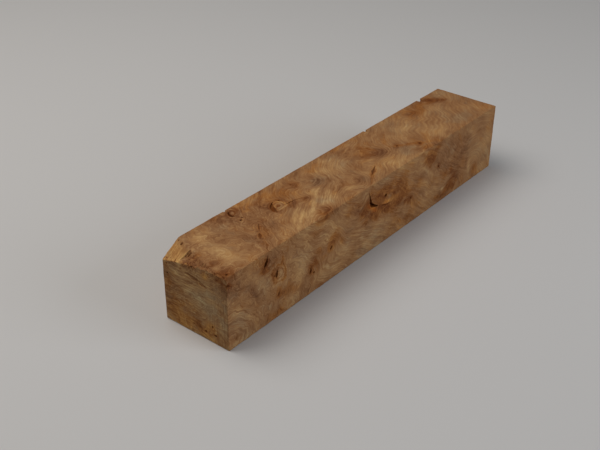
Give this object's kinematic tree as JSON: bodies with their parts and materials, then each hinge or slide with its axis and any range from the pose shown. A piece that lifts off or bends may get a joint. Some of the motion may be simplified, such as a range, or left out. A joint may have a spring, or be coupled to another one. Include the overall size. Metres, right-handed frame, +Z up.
{
  "type": "elm burl turning block",
  "caption": "Square sawn stick of elm burl for turning or carving, with a cut corner, a torn edge beside it, grown eyes, pits and short cracks.",
  "frame": {"origin": "centre of the bottom face", "axes": "+X along the block from the near end, which has the cut corner, to the far end; the long side with the forked crack faces -Y; +Z up"},
  "size_m": [0.3, 0.052, 0.0515],
  "materials": {
    "elm_burl": "sawn and lightly sanded, unsealed, matt"
  },
  "bodies": {
    "root": {"elm_burl_block": "elm_burl"}
  },
  "joints": []
}
